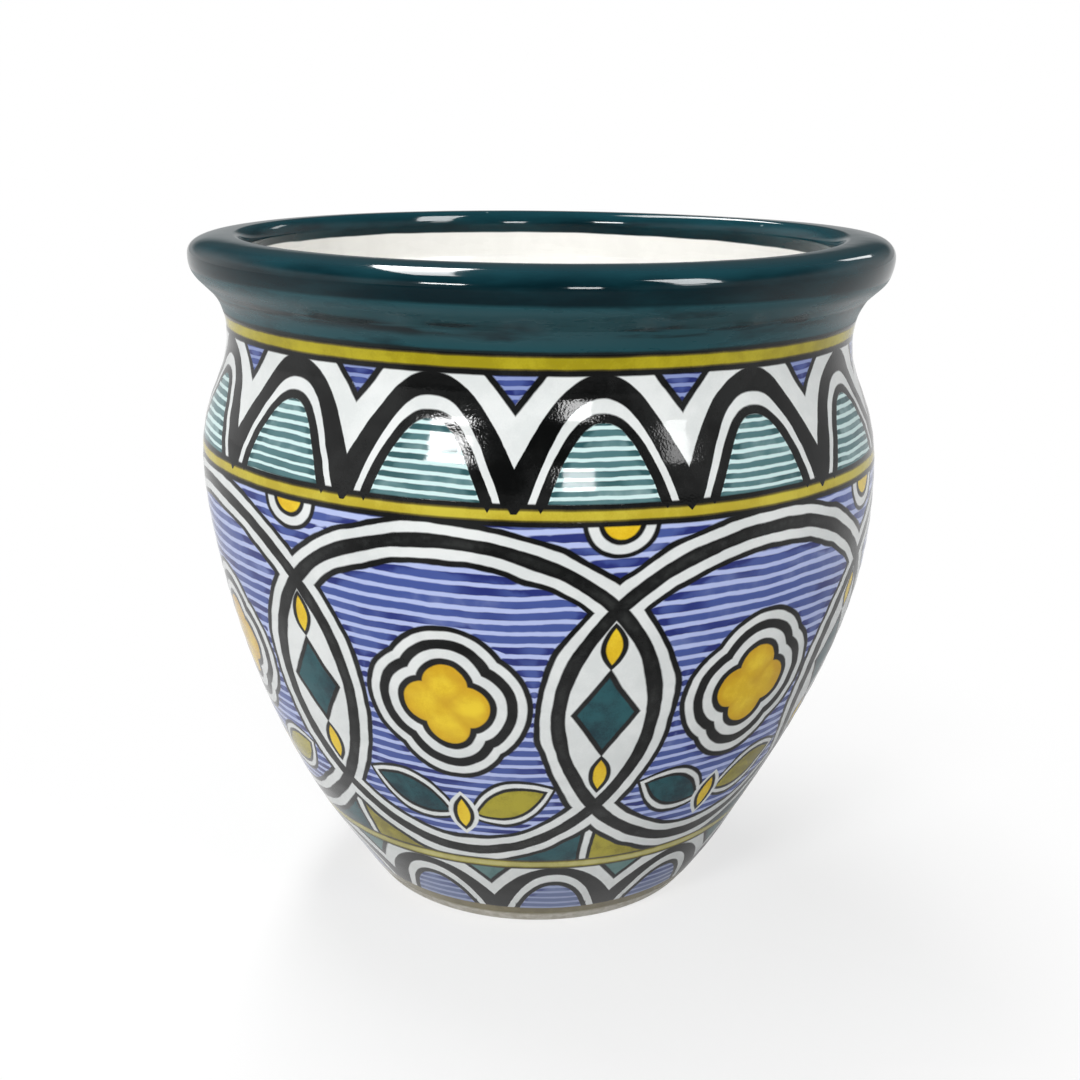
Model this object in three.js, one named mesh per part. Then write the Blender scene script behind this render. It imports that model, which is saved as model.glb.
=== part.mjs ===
// Painted ceramic planter: a pot luted from thrown ring sections, with a loose drain plug.
// Millimetres, +Z up. The origin is on the ground, at the middle of the foot.

import * as THREE from "three";

// Foot and base
const footRadius = 57.4; // outer radius at the ground
const footFlare = 3.9; // from the ground out to where the foot meets the wall
const footHeight = 5;
const footWidth = 12; // width of the ring that touches the ground, with its chamfers
const footChamfer = 1;
const baseThickness = 9;

// Outer form of the wall, from the foot up to the crease under the rim
const bellyRadius = 113.2;
const bellyHeight = 148.4; // height of the widest ring of the belly
const neckRadius = 103.55;
const neckRise = 43.7; // from the belly up to the narrowest ring of the neck
const creaseRadius = 107.85;
const creaseRise = 13.6; // from the neck up to the crease under the rim
const wallThickness = 8; // measured level, through the wall

// Fullness of the wall's curves: how far each end holds its own direction
const footLean = 20.1;
const footFullness = 29.1;
const bellyFullnessBelow = 56.6;
const bellyFullnessAbove = 24.1;
const neckFullness = 15.3;
const collarFullness = 8;

// Rolled rim
const rimRadius = 115;
const rimWidth = 14.2; // from the outer face in to the crest
const rimRise = 17.2; // from the crease up to the crest
const rimShoulder = 5.8; // from the fullest ring of the rim up to the crest
const rimFullness = 5.8; // how far the outer face holds upright above its fullest ring
const crestFullness = 5.2; // how far the crest holds level towards the outer face
const lipWidth = 3.8; // from the crest in to the inner face
const lipDrop = 5.2; // from the crest down to the inner face
const lipCorner = 4.6; // rounding between the outer face and the cone under the rim

// Seams between the thrown sections, from the lowest up
const lowSeamRise = 27.1; // above the foot, under the low stripe
const bowlSeamDrop = 76.3; // below the widest ring of the belly
const girthSeamDrop = 34.3; // below the widest ring of the belly
const beltSeamRise = 8.3; // above the widest ring of the belly, under the belt stripe
const throatSeamDrop = 14; // below the narrowest ring of the neck
const collarSeamDrop = 6.6; // below the crease, under the neck stripe
const slipGap = 0.3; // clearance in every luted seam
const tongueHalfWidth = 1.5;
const tongueHeight = 1.8;

// Drain hole and its plug
const holeRadiusTop = 11;
const holeRadiusBottom = 9.5;
const plugClearance = 0.3;
const plugRecess = 0.6; // the plug ends this far inside the underside of the base
const flangeOverlap = 5; // of the plug's flange over the edge of the hole
const flangeThickness = 2.5;
const stemRadius = 4.5;
const stemHeight = 4.5;
const knobRadius = 8;
const knobHeight = 5.5;

// Facets around each turned piece, and steps along its curves
const potFacets = 48;
const plugFacets = 32;
const wallSteps = 4;
const collarSteps = 3;
const baseEdgeSteps = 3;
const lipCornerSteps = 3;
const crestSteps = 8;
const lipSteps = 4;
const knobSteps = 4;
const curveHalvings = 40; // enough to find a radius to a millionth of a millimetre

// Heights and radii that follow from the sizes above
const wallFootRadius = footRadius + footFlare;
const neckHeight = bellyHeight + neckRise;
const creaseHeight = neckHeight + creaseRise;
const crestHeight = creaseHeight + rimRise;
const lowSeam = footHeight + lowSeamRise;
const bowlSeam = bellyHeight - bowlSeamDrop;
const girthSeam = bellyHeight - girthSeamDrop;
const beltSeam = bellyHeight + beltSeamRise;
const throatSeam = neckHeight - throatSeamDrop;
const collarSeam = creaseHeight - collarSeamDrop;
const baseUnderside = footHeight + slipGap;
const floorHeight = baseUnderside + baseThickness;

const point = (radius, height) => new THREE.Vector2(radius, height);

const lowerCurve = new THREE.CubicBezierCurve(
  point(wallFootRadius, footHeight),
  point(wallFootRadius + footLean, footHeight + footFullness),
  point(bellyRadius, bellyHeight - bellyFullnessBelow),
  point(bellyRadius, bellyHeight),
);
const shoulderCurve = new THREE.CubicBezierCurve(
  point(bellyRadius, bellyHeight),
  point(bellyRadius, bellyHeight + bellyFullnessAbove),
  point(neckRadius, neckHeight - neckFullness),
  point(neckRadius, neckHeight),
);
const collarCurve = new THREE.QuadraticBezierCurve(
  point(neckRadius, neckHeight),
  point(neckRadius, neckHeight + collarFullness),
  point(creaseRadius, creaseHeight),
);

// Outer radius of the wall at a height, found by halving along the curve that spans it.
function outerRadius(height) {
  let curve = collarCurve;
  if (height < bellyHeight) curve = lowerCurve;
  else if (height < neckHeight) curve = shoulderCurve;
  let low = 0;
  let high = 1;
  for (let halving = 0; halving < curveHalvings; halving += 1) {
    const middle = (low + high) / 2;
    if (curve.getPoint(middle).y < height) low = middle;
    else high = middle;
  }
  return curve.getPoint(low).x;
}

const innerRadius = (height) => outerRadius(height) - wallThickness;

// Evenly spaced heights, both ends included.
const heights = (from, to, steps) =>
  Array.from({ length: steps + 1 }, (unused, step) => from + ((to - from) * step) / steps);

// The raised tongue along the top of a section, from the outside in.
function tongue(seam) {
  const middle = outerRadius(seam) - wallThickness / 2;
  return [
    point(middle + tongueHalfWidth, seam),
    point(middle, seam + tongueHeight),
    point(middle - tongueHalfWidth, seam),
  ];
}

// The groove in the underside of the section above, from the inside out.
const groove = (seam) =>
  tongue(seam)
    .reverse()
    .map((corner) => point(corner.x, corner.y + slipGap));

// A solid of revolution about the upright axis. The profile runs anticlockwise, with the radius to the right.
function turned(name, profile, facets, material) {
  const geometry = new THREE.LatheGeometry(profile, facets);
  geometry.rotateX(Math.PI / 2);
  const mesh = new THREE.Mesh(geometry, material);
  mesh.name = name;
  return mesh;
}

const closed = (profile) => [...profile, profile[0].clone()];

// A ring of wall between two seams: groove below, tongue above.
function wallSection(name, lowerSeam, upperSeam, steps, material) {
  const start = lowerSeam + slipGap;
  const outside = heights(start, upperSeam, steps).map((height) => point(outerRadius(height), height));
  const inside = heights(upperSeam, start, steps).map((height) => point(innerRadius(height), height));
  const profile = [...groove(lowerSeam), ...outside, ...tongue(upperSeam), ...inside];
  return turned(name, closed(profile), potFacets, material);
}

function makeFootRing(material) {
  const inner = footRadius - footWidth;
  const chamferTop = footRadius + (footFlare * footChamfer) / footHeight;
  const profile = [
    point(inner + footChamfer, 0),
    point(footRadius - footChamfer, 0),
    point(chamferTop, footChamfer),
    point(wallFootRadius, footHeight),
    ...tongue(footHeight),
    point(inner, footHeight),
    point(inner, footChamfer),
  ];
  return turned("foot_ring", closed(profile), potFacets, material);
}

function makeBaseSlab(material) {
  const edge = heights(baseUnderside, floorHeight, baseEdgeSteps).map((height) =>
    point(innerRadius(height) - slipGap, height),
  );
  const profile = [
    point(holeRadiusBottom, baseUnderside),
    ...edge,
    point(holeRadiusTop, floorHeight),
  ];
  return turned("base_slab", closed(profile), potFacets, material);
}

function makeRimRoll(material) {
  const start = creaseHeight + slipGap;
  const crestRadius = rimRadius - rimWidth;
  const fullest = point(rimRadius, crestHeight - rimShoulder);
  const corner = point(rimRadius, fullest.y - lipCorner);
  const crease = point(creaseRadius, start);
  const underside = crease.clone().sub(corner).setLength(lipCorner).add(corner);
  const lowerFace = new THREE.QuadraticBezierCurve(underside, corner, fullest);
  const upperFace = new THREE.CubicBezierCurve(
    fullest,
    point(rimRadius, fullest.y + rimFullness),
    point(crestRadius + crestFullness, crestHeight),
    point(crestRadius, crestHeight),
  );
  const innerFace = new THREE.EllipseCurve(
    crestRadius, crestHeight - lipDrop, lipWidth, lipDrop, Math.PI / 2, Math.PI, false,
  );
  const profile = [
    ...groove(creaseHeight),
    crease,
    ...lowerFace.getPoints(lipCornerSteps),
    ...upperFace.getPoints(crestSteps).slice(1),
    ...innerFace.getPoints(lipSteps).slice(1),
    point(innerRadius(creaseHeight), start),
  ];
  return turned("rim_roll", closed(profile), potFacets, material);
}

function makeDrainPlug(material) {
  const taper = (holeRadiusTop - holeRadiusBottom) / baseThickness;
  const shankEnd = baseUnderside + plugRecess;
  const flangeUnder = floorHeight + plugClearance;
  const flangeTop = flangeUnder + flangeThickness;
  const flangeRadius = holeRadiusTop + flangeOverlap;
  const stemTop = flangeTop + stemHeight;
  const knobTop = stemTop + knobHeight;
  const shankTopRadius = holeRadiusTop - plugClearance;
  const knob = new THREE.EllipseCurve(
    0, stemTop, knobRadius, knobHeight, 0, Math.PI / 2, false,
  );
  const profile = [
    point(0, shankEnd),
    point(holeRadiusBottom - plugClearance + taper * plugRecess, shankEnd),
    point(shankTopRadius, floorHeight),
    point(shankTopRadius, flangeUnder),
    point(flangeRadius, flangeUnder),
    point(flangeRadius, flangeTop),
    point(stemRadius, flangeTop),
    point(stemRadius, stemTop),
    ...knob.getPoints(knobSteps).slice(0, knobSteps),
    point(0, knobTop),
  ];
  return turned("drain_plug", profile, plugFacets, material);
}

const finish = (color, roughness) => new THREE.MeshStandardMaterial({ color, roughness, metalness: 0 });

const tealGlaze = finish(0x183640, 0.12);
const shoulderPaint = finish(0x8a9a9c, 0.18);
const bellyPaint = finish(0x8794b4, 0.18);
const lowerPaint = finish(0xa3acb8, 0.18);
const whiteGlaze = finish(0xd8d8da, 0.2);
const bareClay = finish(0x928d80, 0.85);
const darkRubber = finish(0x2c2d2e, 0.7);

const planter = new THREE.Group();
planter.name = "planter";
planter.add(
  makeFootRing(bareClay),
  makeBaseSlab(whiteGlaze),
  wallSection("lower_wall", footHeight, lowSeam, wallSteps, lowerPaint),
  wallSection("bowl_wall", lowSeam, bowlSeam, wallSteps, bellyPaint),
  wallSection("girth_wall", bowlSeam, girthSeam, wallSteps, bellyPaint),
  wallSection("belly_wall", girthSeam, beltSeam, wallSteps, bellyPaint),
  wallSection("shoulder_wall", beltSeam, throatSeam, wallSteps, shoulderPaint),
  wallSection("neck_wall", throatSeam, collarSeam, wallSteps, shoulderPaint),
  wallSection("neck_collar", collarSeam, creaseHeight, collarSteps, tealGlaze),
  makeRimRoll(tealGlaze),
  makeDrainPlug(darkRubber),
);

export default planter;
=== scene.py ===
"""Painted ceramic planter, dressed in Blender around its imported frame.

Each sub-assembly is a class that spins its meshes and dresses them. The pot's sizes are in millimetres, as a
potter would note them, and become metres where a mesh is made. The painting is laid out in millimetres too.
"""

from __future__ import annotations

import logging
import math
from bisect import bisect_left
from dataclasses import dataclass, field
from enum import Enum
from functools import cached_property
from typing import ClassVar, Iterable, Sequence, Union

import bmesh
import bpy
from mathutils import Matrix, Vector
from mathutils.geometry import interpolate_bezier

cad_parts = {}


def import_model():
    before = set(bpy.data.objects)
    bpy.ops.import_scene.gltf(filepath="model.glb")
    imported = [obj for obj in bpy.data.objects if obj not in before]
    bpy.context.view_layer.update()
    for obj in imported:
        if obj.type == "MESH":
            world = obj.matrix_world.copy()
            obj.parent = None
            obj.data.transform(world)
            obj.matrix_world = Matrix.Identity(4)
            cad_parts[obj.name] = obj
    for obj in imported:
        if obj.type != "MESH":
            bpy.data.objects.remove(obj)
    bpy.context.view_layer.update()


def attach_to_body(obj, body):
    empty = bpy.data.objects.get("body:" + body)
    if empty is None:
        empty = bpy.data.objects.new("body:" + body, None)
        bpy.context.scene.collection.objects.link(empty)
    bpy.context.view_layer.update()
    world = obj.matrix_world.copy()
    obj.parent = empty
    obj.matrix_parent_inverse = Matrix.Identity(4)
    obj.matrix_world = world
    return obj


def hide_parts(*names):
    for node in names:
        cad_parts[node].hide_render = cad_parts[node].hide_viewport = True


LOG = logging.getLogger("planter")
MM = 0.001
SOFT = 0.3
Colour = tuple[float, float, float, float]


def srgb(red: int, green: int, blue: int) -> Colour:
    """A screen colour, written 0 to 255, as the linear colour that a shader takes.

    Args:
        red: The level of red.
        green: The level of green.
        blue: The level of blue.

    Returns:
        The linear colour, with full alpha.
    """
    def linear(level: int) -> float:
        """One channel, from screen level to linear light."""
        share = level / 255
        return share / 12.92 if share <= 0.04045 else ((share + 0.055) / 1.055) ** 2.4

    return (linear(red), linear(green), linear(blue), 1.0)


class Pigment(Enum):
    """The painter's colours, each as its thin and its full stroke."""

    INK = (srgb(28, 29, 29), srgb(9, 10, 10))
    SOOT = (srgb(66, 68, 67), srgb(36, 38, 37))
    GROUND = (srgb(238, 241, 240), srgb(227, 231, 230))
    LINING = (srgb(253, 252, 248), srgb(248, 247, 243))
    MUSTARD = (srgb(208, 193, 66), srgb(190, 171, 48))
    # The neck stripe's mustard, painted darker as the shade that the rim casts on it.
    MUSTARD_IN_PAINTED_SHADE = (srgb(190, 176, 36), srgb(166, 152, 22))
    BRONZE = (srgb(108, 97, 40), srgb(72, 63, 24))
    STRAW = (srgb(206, 199, 130), srgb(184, 176, 102))
    UMBER = (srgb(84, 78, 56), srgb(52, 48, 34))
    DRAB = (srgb(136, 126, 92), srgb(114, 105, 74))
    YELLOW = (srgb(246, 212, 50), srgb(228, 186, 30))
    OLIVE = (srgb(180, 168, 52), srgb(134, 124, 36))
    TEAL = (srgb(34, 88, 95), srgb(13, 52, 62))
    SEA = (srgb(98, 134, 132), srgb(66, 104, 106))


class Hatching(Enum):
    """Colours of ruled fields: the gaps, an even stroke, and the pooled end of a stroke."""

    BLUE = (srgb(188, 200, 243), srgb(74, 92, 160), srgb(41, 51, 122))
    COBALT = (srgb(142, 156, 206), srgb(70, 86, 152), srgb(38, 48, 116))
    # Paler, flatter blue for the lower band: the band's own blue with a painted haze of the floor's
    # reflection.
    BLUE_WITH_PAINTED_HAZE = (srgb(160, 172, 208), srgb(104, 118, 162), srgb(76, 88, 140))
    TURQUOISE = (srgb(216, 243, 242), srgb(84, 124, 128), srgb(50, 90, 94))


class Signal:
    """One output of a shader graph. Arithmetic on it adds Math nodes."""

    def __init__(self, graph: Graph, socket: bpy.types.NodeSocket) -> None:
        """Keep the graph and the socket that carries the value."""
        self.graph = graph
        self.socket = socket

    def __add__(self, other: Value) -> Signal:
        """This plus the other."""
        return self.graph.math("ADD", self, other)

    def __sub__(self, other: Value) -> Signal:
        """This less the other."""
        return self.graph.math("SUBTRACT", self, other)

    def __rsub__(self, other: Value) -> Signal:
        """The other less this."""
        return self.graph.math("SUBTRACT", other, self)

    def __mul__(self, other: Value) -> Signal:
        """This times the other."""
        return self.graph.math("MULTIPLY", self, other)

    def __truediv__(self, other: Value) -> Signal:
        """This over the other."""
        return self.graph.math("DIVIDE", self, other)

    def __pow__(self, other: Value) -> Signal:
        """This to the power of the other."""
        return self.graph.math("POWER", self, other)

    def __abs__(self) -> Signal:
        """The size of this, without its sign."""
        return self.graph.math("ABSOLUTE", self)

    def floor(self) -> Signal:
        """The whole number at or below this."""
        return self.graph.math("FLOOR", self)

    def nearest(self) -> Signal:
        """The whole number nearest to this."""
        return self.graph.math("ROUND", self)

    def beside(self) -> dict[str, Signal]:
        """All the outputs of this one's node, by name."""
        return {socket.name: Signal(self.graph, socket) for socket in self.socket.node.outputs}


Value = Union[Signal, float, Colour]
Inputs = dict[Union[int, str], Value]


class Graph:
    """A shader node tree, with short calls for the nodes that the finishes use."""

    def __init__(self, tree: bpy.types.NodeTree) -> None:
        """Keep the tree that the calls add to."""
        self.tree = tree

    def add(self, kind: str, **settings: object) -> bpy.types.Node:
        """Add a node.

        Args:
            kind: The node's type name.
            settings: Properties to set on it.

        Returns:
            The new node.
        """
        node = self.tree.nodes.new(kind)
        for name, value in settings.items():
            setattr(node, name, value)
        return node

    def put(self, socket: bpy.types.NodeSocket, value: Value) -> None:
        """Link a signal to a socket, or set the socket to a plain value.

        Args:
            socket: The socket to feed.
            value: The signal or the plain value.
        """
        if isinstance(value, Signal):
            self.tree.links.new(value.socket, socket)
        else:
            socket.default_value = value

    def made(self, kind: str, given: Inputs, output: int = 0, **settings: object) -> Signal:
        """Add a node, feed it and read it.

        Args:
            kind: The node's type name.
            given: The values of its inputs, by number or name.
            output: The number of the output to read.
            settings: Properties to set on it.

        Returns:
            What the node gives.
        """
        node = self.add(kind, **settings)
        for key, value in given.items():
            self.put(node.inputs[key], value)
        return Signal(self, node.outputs[output])

    def math(self, operation: str, *values: Value) -> Signal:
        """A Math node on one to three values."""
        return self.made("ShaderNodeMath", dict(enumerate(values)), operation=operation)

    def least(self, one: Value, other: Value) -> Signal:
        """The smaller of two values."""
        return self.math("MINIMUM", one, other)

    def most(self, one: Value, other: Value) -> Signal:
        """The larger of two values."""
        return self.math("MAXIMUM", one, other)

    def reach(self, across: Signal, along: Signal) -> Signal:
        """The length of a flat vector."""
        return self.math("SQRT", across * across + along * along)

    def vector(self, operation: str, one: Value, other: Value) -> Signal:
        """A Vector Math node on two vectors."""
        return self.made("ShaderNodeVectorMath", {0: one, 1: other}, operation=operation)

    def scaled(self, one: Signal, by: Value) -> Signal:
        """A vector times a number."""
        return self.made("ShaderNodeVectorMath", {0: one, "Scale": by}, operation="SCALE")

    def parts(self, vector: Signal) -> tuple[Signal, ...]:
        """The x, y and z of a vector."""
        return tuple(self.made("ShaderNodeSeparateXYZ", {0: vector}).beside().values())

    def joined(self, x: Value, y: Value, z: Value) -> Signal:
        """A vector made of three parts."""
        return self.made("ShaderNodeCombineXYZ", {0: x, 1: y, 2: z})

    def coordinates(self, kind: str) -> Signal:
        """The surface's coordinates of a kind, such as its object's in metres."""
        return self.made("ShaderNodeTexCoord", {}).beside()[kind]

    def rays(self) -> dict[str, Signal]:
        """Which kind of ray looks at the surface, by name."""
        return self.made("ShaderNodeLightPath", {}).beside()

    def millimetres(self, place: Signal) -> Signal:
        """A place in millimetres."""
        return self.scaled(place, 1.0 / MM)

    def cloud(self, where: Signal, scale: float, detail: float = 2.0, output: int = 0) -> Signal:
        """Noise from 0 to 1 around a place, with scale in cycles per unit."""
        return self.made("ShaderNodeTexNoise", {"Vector": where, "Scale": scale, "Detail": detail}, output)

    def shake(self, where: Signal, scale: float, width: float, detail: float = 2.0) -> Signal:
        """Noise about zero around a place, as wide as given."""
        return (self.cloud(where, scale, detail) - 0.5) * width

    def drift(self, where: Signal, scale: float) -> Signal:
        """Noise around a place, as a vector of values about zero."""
        return self.vector("SUBTRACT", self.cloud(where, scale, output=1), (0.5, 0.5, 0.5))

    def rise(self, value: Value, start: Value, end: Value) -> Signal:
        """A smooth step: 0 at start and 1 at end, whichever is larger."""
        given = {"Value": value, "From Min": start, "From Max": end}
        return self.made("ShaderNodeMapRange", given, interpolation_type="SMOOTHSTEP")

    def within(self, value: Signal, edge: Value, soft: float = SOFT) -> Signal:
        """A mask that is 1 where a value lies below an edge.

        Args:
            value: The value.
            edge: The edge.
            soft: Half the width of the mask's edge.

        Returns:
            The mask.
        """
        if isinstance(edge, Signal):
            return self.rise(value - edge, soft, -soft)
        return self.rise(value, edge + soft, edge - soft)

    def over(self, under: Value, colour: Value, mask: Value) -> Signal:
        """Lay a colour over another where a mask is 1."""
        return self.made("ShaderNodeMix", {0: mask, 6: under, 7: colour}, 2, data_type="RGBA")

    def grey(self, colour: Signal) -> Signal:
        """How light a colour is."""
        return self.made("ShaderNodeRGBToBW", {0: colour})

    def call(self, effect: Effect, **given: Value) -> dict[str, Signal]:
        """Place a shared effect, with a value for each of its inputs, and return its outputs by name."""
        return self.made("ShaderNodeGroup", given, node_tree=effect.tree()).beside()


SOCKETS = {"value": "NodeSocketFloat", "vector": "NodeSocketVector", "colour": "NodeSocketColor"}


class Effect:
    """A shader node group that several finishes share, built once."""

    name: str = ""
    inputs: dict[str, str] = {}
    outputs: dict[str, str] = {}

    def wire(self, graph: Graph, given: dict[str, Signal]) -> dict[str, Signal]:
        """Add the effect's nodes.

        Args:
            graph: The group's own graph.
            given: The group's inputs by name.

        Returns:
            The signals for the group's outputs, by name.
        """
        raise NotImplementedError

    def tree(self) -> bpy.types.NodeTree:
        """Make the effect's node group on first use.

        Returns:
            The node group.
        """
        found = bpy.data.node_groups.get(self.name)
        if found:
            return found
        tree = bpy.data.node_groups.new(self.name, "ShaderNodeTree")
        for in_out, ports in (("INPUT", self.inputs), ("OUTPUT", self.outputs)):
            for name, kind in ports.items():
                tree.interface.new_socket(name, in_out=in_out, socket_type=SOCKETS[kind])
        graph = Graph(tree)
        entry = graph.add("NodeGroupInput")
        leave = graph.add("NodeGroupOutput")
        given = {name: Signal(graph, entry.outputs[name]) for name in self.inputs}
        for name, signal in self.wire(graph, given).items():
            graph.put(leave.inputs[name], signal)
        return tree


class BrushWander(Effect):
    """Where a hand-held brush really is: the angle and height, led astray a little.

    The slow and the quick drift are a noise's scale and the millimetres that it leads astray.
    """

    name = "brush_wander"
    inputs = {"Place": "vector", "Wander": "value"}
    outputs = {"Angle": "value", "Height": "value"}
    slow = (16.0, 3.6)
    quick = (140.0, 0.55)

    def wire(self, graph: Graph, given: dict[str, Signal]) -> dict[str, Signal]:
        """Lead the brush astray.

        Args:
            graph: The group's own graph.
            given: The place in metres and how far the hand wanders.

        Returns:
            The angle in radians, 0 at the front and positive to the right, and the height in millimetres.
        """
        place = given["Place"]
        drifts = (graph.scaled(graph.drift(place, scale), way) for scale, way in (self.slow, self.quick))
        astray = graph.scaled(graph.vector("ADD", *drifts), given["Wander"])
        x, y, z = graph.parts(graph.vector("ADD", graph.millimetres(place), astray))
        return {"Angle": graph.math("ARCTAN2", x, y * -1.0), "Height": z}


class HatchStrokes(Effect):
    """Ruled brush strokes with pale gaps, each of its own width and tone, pooled where it stops.

    Widths are shares of a row, and pairs are the ends of a smooth step. The lean is a noise's scale and
    width, and the scales are those of the tone, the load and the fray.
    """

    name = "hatch_strokes"
    inputs = {
        "Place": "vector",
        "Row": "value",
        "Edge": "value",
        "Gap": "colour",
        "Stroke": "colour",
        "Pooled": "colour",
    }
    outputs = {"Color": "colour"}
    lean = (14.0, 1.0)
    stride = 0.37
    scales = (20.0, 38.0, 230.0)
    half_width = 0.305
    tone_width = 0.24
    fray_width = 0.09
    overrun = 0.5
    dry_load = 0.66
    dry_gap = 40.0
    tip = (-0.3, 1.3)
    tip_width = 0.5
    stop = (-0.3, 0.1)
    soft = 0.07
    end = (4.2, 0.3)
    end_fray = 4.0
    end_load = 0.17
    rim = (0.55, 1.0)
    rim_load = 0.06
    pool = (0.52, 0.68)
    thin = (0.50, 0.26)
    thin_fray = 0.25
    thin_most = 0.30

    def wire(self, graph: Graph, given: dict[str, Signal]) -> dict[str, Signal]:
        """Rule the strokes.

        Args:
            graph: The group's own graph.
            given: The place, the count of strokes, the millimetres to the nearest outline, the colours.

        Returns:
            The colour.
        """
        place = given["Place"]
        row = given["Row"] + graph.shake(place, *self.lean)
        index = row.floor()
        along = graph.vector("ADD", place, graph.joined(0.0, 0.0, index * self.stride))
        tone, load, fray = (graph.cloud(along, scale) for scale in self.scales)
        uneven = fray - 0.5
        half = (tone - 0.5) * self.tone_width + self.half_width + uneven * self.fray_width
        from_middle = abs(row - index - 0.5)
        to_end = given["Edge"] + self.overrun - graph.most(load - self.dry_load, 0.0) * self.dry_gap
        tip = graph.rise(to_end, *self.tip) * (1.0 - self.tip_width) + self.tip_width
        stroke = graph.within(from_middle, half * tip, self.soft) * graph.rise(to_end, *self.stop)
        end = graph.rise(to_end + uneven * self.end_fray, *self.end)
        rim = graph.rise(from_middle / half, *self.rim)
        pooled = graph.rise(load + end * self.end_load + rim * self.rim_load, *self.pool)
        thin = graph.rise(tone + uneven * self.thin_fray, *self.thin) * self.thin_most
        paint = graph.over(given["Stroke"], given["Gap"], thin)
        paint = graph.over(paint, given["Pooled"], pooled)
        return {"Color": graph.over(given["Gap"], paint, stroke)}


class PigmentWash(Effect):
    """A pigment laid with a loaded brush: thin in places and pooled in others, with a fine grain.

    The pools are a noise's scale and detail, the curl its scale and its way in metres, and the others its
    scale and width, then its detail. The filling is the ends of a smooth step.
    """

    name = "pigment_wash"
    inputs = {"Place": "vector", "Thin": "colour", "Full": "colour"}
    outputs = {"Color": "colour"}
    pools = (48.0, 3.0)
    curl = (90.0, 0.012)
    swirl = (150.0, 0.55)
    marks = (380.0, 0.16, 1.0)
    grain = (1700.0, 0.24, 1.0)
    filling = (0.30, 0.70)

    def wire(self, graph: Graph, given: dict[str, Signal]) -> dict[str, Signal]:
        """Lay broad pools, the swirls of a loaded brush, and grain in them.

        Args:
            graph: The group's own graph.
            given: The place and the two colours.

        Returns:
            The colour.
        """
        place = given["Place"]
        scale, way = self.curl
        curled = graph.vector("ADD", place, graph.scaled(graph.drift(place, scale), way))
        load = graph.cloud(place, *self.pools) + graph.shake(curled, *self.swirl)
        load = load + graph.shake(place, *self.marks) + graph.shake(place, *self.grain)
        return {"Color": graph.over(given["Thin"], given["Full"], graph.rise(load, *self.filling))}


class GlazeSkin(Effect):
    """The fired surface: slow ripples, orange peel, and grit where black pigment breaks through.

    Each noise is its scale, its detail and its height in millimetres, or its roughness for the smear.
    """

    name = "glaze_skin"
    inputs = {"Place": "vector", "Ink": "value"}
    outputs = {"Roughness": "value", "Height": "value"}
    ripple = (24.0, 2.0, 0.12)
    dimple = (110.0, 2.0, 0.024)
    peel = (700.0, 1.0, 0.0025)
    grit = (1500.0, 1.0, 0.035)
    smear = (40.0, 4.0, 0.06)
    least_rough = 0.035
    ink_rough = 0.03

    def wire(self, graph: Graph, given: dict[str, Signal]) -> dict[str, Signal]:
        """Ripple, dimple and grit the surface.

        Args:
            graph: The group's own graph.
            given: The place, and how much ink lies there.

        Returns:
            The roughness, and the height in millimetres for a Bump node.
        """
        ripple, dimple, peel, grit, smear = (
            graph.cloud(given["Place"], scale, detail) * most
            for scale, detail, most in (self.ripple, self.dimple, self.peel, self.grit, self.smear)
        )
        roughness = smear + self.least_rough + given["Ink"] * self.ink_rough
        return {"Roughness": roughness, "Height": ripple + dimple + peel + grit * given["Ink"]}


WANDER = BrushWander()
HATCH = HatchStrokes()
WASH = PigmentWash()
SKIN = GlazeSkin()


class Coat(Graph):
    """The graph of a new material, with its Principled BSDF and the place on its surface."""

    def __init__(self, name: str) -> None:
        """Make the material and link its shader to its output.

        Args:
            name: The material's name.
        """
        self.material = bpy.data.materials.new(name)
        self.material.use_nodes = True
        super().__init__(self.material.node_tree)
        self.tree.nodes.clear()
        self.shader = self.add("ShaderNodeBsdfPrincipled")
        self.output = self.add("ShaderNodeOutputMaterial")
        self.tree.links.new(self.shader.outputs[0], self.output.inputs["Surface"])
        self.place = self.coordinates("Object")

    def feed(self, **given: Value) -> None:
        """Feed the shader's inputs, with an underscore for each space in their names."""
        for name, value in given.items():
            self.put(self.shader.inputs[name.replace("_", " ")], value)

    def relief(self, height: Signal, depth: float = 1.0) -> None:
        """Raise the surface by a height, of which 1 stands for a depth in millimetres."""
        self.feed(Normal=self.made("ShaderNodeBump", {"Distance": depth * MM, "Height": height}))

    def washed(self, pigment: Pigment) -> Signal:
        """A pigment's colour with its pools."""
        thin, full = pigment.value
        return self.call(WASH, Place=self.place, Thin=thin, Full=full)["Color"]


@dataclass(frozen=True)
class Finish:
    """A material of the pot or its plug."""

    name: str

    def dress(self, coat: Coat) -> None:
        """Fill the material's graph."""
        raise NotImplementedError

    def material(self) -> bpy.types.Material:
        """Make the finish's material.

        Returns:
            The new material.
        """
        coat = Coat(self.name)
        self.dress(coat)
        return coat.material


@dataclass(frozen=True)
class Glaze(Finish):
    """A colour under a clear glossy glaze."""

    gloss: ClassVar[float] = 0.27

    def fire(self, coat: Coat, colour: Value, ink: Value = 0.0, matt: Value = 0.0) -> None:
        """Feed a colour and a fired surface to the shader.

        Args:
            coat: The material to fill.
            colour: The colour under the glaze.
            ink: How much black pigment breaks through.
            matt: What is added to the roughness.
        """
        skin = coat.call(SKIN, Place=coat.place, Ink=ink)
        coat.feed(Base_Color=colour, Roughness=skin["Roughness"] + matt, Specular_IOR_Level=self.gloss)
        coat.relief(skin["Height"])


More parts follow.
